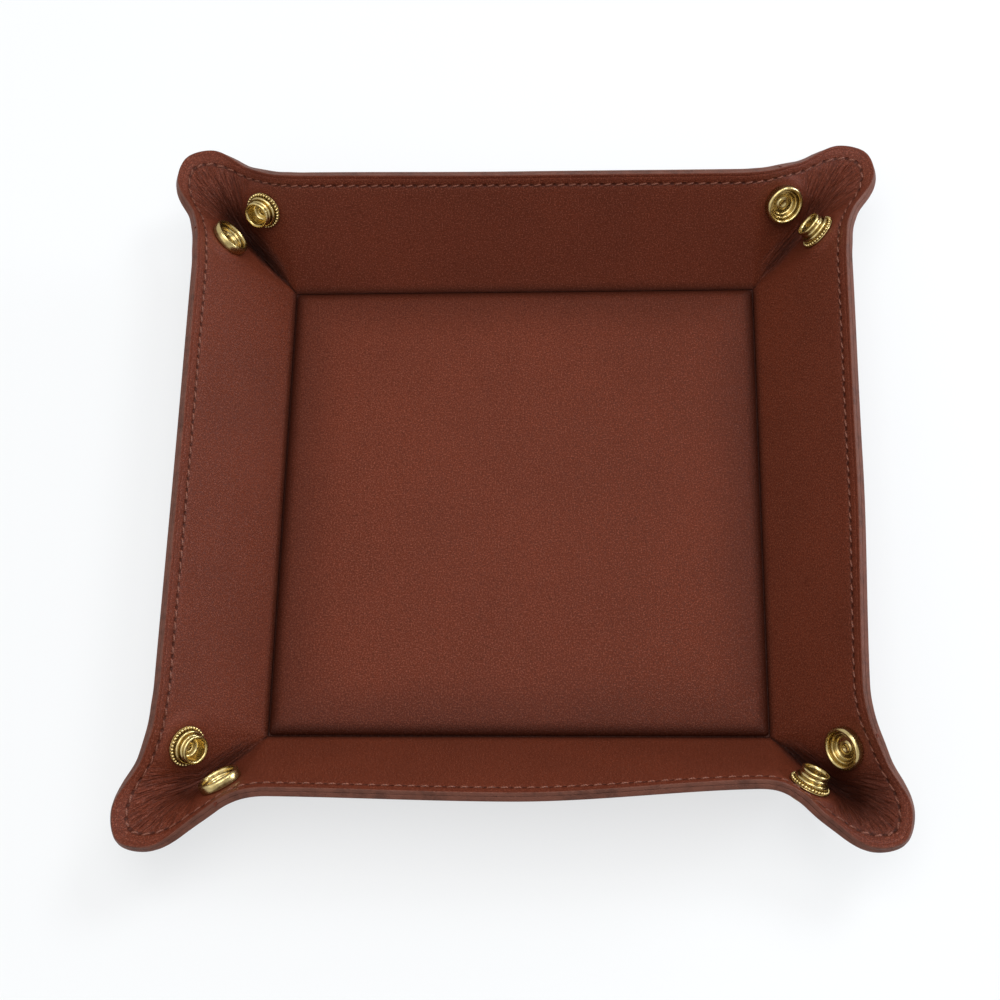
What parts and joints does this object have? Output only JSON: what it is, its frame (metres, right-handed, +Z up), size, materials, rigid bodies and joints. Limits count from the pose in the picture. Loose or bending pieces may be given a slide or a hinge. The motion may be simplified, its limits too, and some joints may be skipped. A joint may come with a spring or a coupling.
{
  "type": "valet tray",
  "caption": "Square leather valet tray with fold-up walls, padded base, pinched corner ears and open brass corner snaps.",
  "frame": {"origin": "centre of the underside of the base, on the surface the tray stands on", "axes": "+X to the right wall, +Y to the back wall, +Z up"},
  "size_m": [0.2186, 0.2186, 0.0366],
  "materials": {
    "outer_leather": "smooth reddish-brown leather",
    "lining_leather": "smooth reddish-brown leather, fine grain",
    "board": "grey-brown pressed fibre board",
    "foam": "thin padding foam",
    "thread": "tone-on-tone sewing thread",
    "snap_brass": "polished brass"
  },
  "bodies": {
    "base": {"base_outer_leather": "outer_leather", "base_board": "board", "base_foam": "foam", "base_lining": "lining_leather"},
    "front_wall": {"front_wall_outer_leather": "outer_leather", "front_wall_board": "board", "front_wall_lining": "lining_leather", "front_wall_stitching": "thread"},
    "right_wall": {"right_wall_outer_leather": "outer_leather", "right_wall_board": "board", "right_wall_lining": "lining_leather", "right_wall_stitching": "thread"},
    "back_wall": {"back_wall_outer_leather": "outer_leather", "back_wall_board": "board", "back_wall_lining": "lining_leather", "back_wall_stitching": "thread"},
    "left_wall": {"left_wall_outer_leather": "outer_leather", "left_wall_board": "board", "left_wall_lining": "lining_leather", "left_wall_stitching": "thread"},
    "front_left_ear": {"front_left_ear_outer_leather": "outer_leather", "front_left_ear_lining": "lining_leather", "front_left_ear_stitching": "thread", "front_left_ear_socket": "snap_brass", "front_left_ear_cap": "snap_brass"},
    "left_front_ear": {"left_front_ear_outer_leather": "outer_leather", "left_front_ear_lining": "lining_leather", "left_front_ear_stitching": "thread", "left_front_ear_stud": "snap_brass", "left_front_ear_cap": "snap_brass"},
    "right_front_ear": {"right_front_ear_outer_leather": "outer_leather", "right_front_ear_lining": "lining_leather", "right_front_ear_stitching": "thread", "right_front_ear_socket": "snap_brass", "right_front_ear_cap": "snap_brass"},
    "front_right_ear": {"front_right_ear_outer_leather": "outer_leather", "front_right_ear_lining": "lining_leather", "front_right_ear_stitching": "thread", "front_right_ear_stud": "snap_brass", "front_right_ear_cap": "snap_brass"},
    "back_right_ear": {"back_right_ear_outer_leather": "outer_leather", "back_right_ear_lining": "lining_leather", "back_right_ear_stitching": "thread", "back_right_ear_socket": "snap_brass", "back_right_ear_cap": "snap_brass"},
    "right_back_ear": {"right_back_ear_outer_leather": "outer_leather", "right_back_ear_lining": "lining_leather", "right_back_ear_stitching": "thread", "right_back_ear_stud": "snap_brass", "right_back_ear_cap": "snap_brass"},
    "left_back_ear": {"left_back_ear_outer_leather": "outer_leather", "left_back_ear_lining": "lining_leather", "left_back_ear_stitching": "thread", "left_back_ear_socket": "snap_brass", "left_back_ear_cap": "snap_brass"},
    "back_left_ear": {"back_left_ear_outer_leather": "outer_leather", "back_left_ear_lining": "lining_leather", "back_left_ear_stitching": "thread", "back_left_ear_stud": "snap_brass", "back_left_ear_cap": "snap_brass"}
  },
  "joints": [
    {"name": "front_wall_fold", "type": "hinge", "parent": "base", "child": "front_wall", "pos_m": [0, -0.073, 0.003], "axis": [-1, 0, 0], "range_deg": [-55, 15]},
    {"name": "right_wall_fold", "type": "hinge", "parent": "base", "child": "right_wall", "pos_m": [0.073, 0, 0.003], "axis": [0, -1, 0], "range_deg": [-55, 15]},
    {"name": "back_wall_fold", "type": "hinge", "parent": "base", "child": "back_wall", "pos_m": [0, 0.073, 0.003], "axis": [1, 0, 0], "range_deg": [-55, 15]},
    {"name": "left_wall_fold", "type": "hinge", "parent": "base", "child": "left_wall", "pos_m": [-0.073, 0, 0.003], "axis": [0, 1, 0], "range_deg": [-55, 15]},
    {"name": "front_left_ear_fold", "type": "hinge", "parent": "front_wall", "child": "front_left_ear", "pos_m": [-0.073, -0.073, 0.003], "axis": [0, -0.5736, 0.8192], "range_deg": [-24.34, 6.64]},
    {"name": "left_front_ear_fold", "type": "hinge", "parent": "front_left_ear", "child": "left_front_ear", "pos_m": [-0.073, -0.073, 0.003], "axis": [0.6443, 0.6443, -0.4121], "range_deg": [-110, 30]},
    {"name": "right_front_ear_fold", "type": "hinge", "parent": "right_wall", "child": "right_front_ear", "pos_m": [0.073, -0.073, 0.003], "axis": [0.5736, 0, 0.8192], "range_deg": [-24.34, 6.64]},
    {"name": "front_right_ear_fold", "type": "hinge", "parent": "right_front_ear", "child": "front_right_ear", "pos_m": [0.073, -0.073, 0.003], "axis": [-0.6443, 0.6443, -0.4121], "range_deg": [-110, 30]},
    {"name": "back_right_ear_fold", "type": "hinge", "parent": "back_wall", "child": "back_right_ear", "pos_m": [0.073, 0.073, 0.003], "axis": [0, 0.5736, 0.8192], "range_deg": [-24.34, 6.64]},
    {"name": "right_back_ear_fold", "type": "hinge", "parent": "back_right_ear", "child": "right_back_ear", "pos_m": [0.073, 0.073, 0.003], "axis": [-0.6443, -0.6443, -0.4121], "range_deg": [-110, 30]},
    {"name": "left_back_ear_fold", "type": "hinge", "parent": "left_wall", "child": "left_back_ear", "pos_m": [-0.073, 0.073, 0.003], "axis": [-0.5736, 0, 0.8192], "range_deg": [-24.34, 6.64]},
    {"name": "back_left_ear_fold", "type": "hinge", "parent": "left_back_ear", "child": "back_left_ear", "pos_m": [-0.073, 0.073, 0.003], "axis": [0.6443, -0.6443, -0.4121], "range_deg": [-110, 30]}
  ],
  "couplings": [
    {"joint": "right_wall_fold", "follows": "front_wall_fold", "ratio": 1},
    {"joint": "back_wall_fold", "follows": "front_wall_fold", "ratio": 1},
    {"joint": "left_wall_fold", "follows": "front_wall_fold", "ratio": 1},
    {"joint": "front_left_ear_fold", "follows": "front_wall_fold", "ratio": 0.44248},
    {"joint": "left_front_ear_fold", "follows": "front_wall_fold", "ratio": 2},
    {"joint": "right_front_ear_fold", "follows": "front_wall_fold", "ratio": 0.44248},
    {"joint": "front_right_ear_fold", "follows": "front_wall_fold", "ratio": 2},
    {"joint": "back_right_ear_fold", "follows": "front_wall_fold", "ratio": 0.44248},
    {"joint": "right_back_ear_fold", "follows": "front_wall_fold", "ratio": 2},
    {"joint": "left_back_ear_fold", "follows": "front_wall_fold", "ratio": 0.44248},
    {"joint": "back_left_ear_fold", "follows": "front_wall_fold", "ratio": 2}
  ]
}
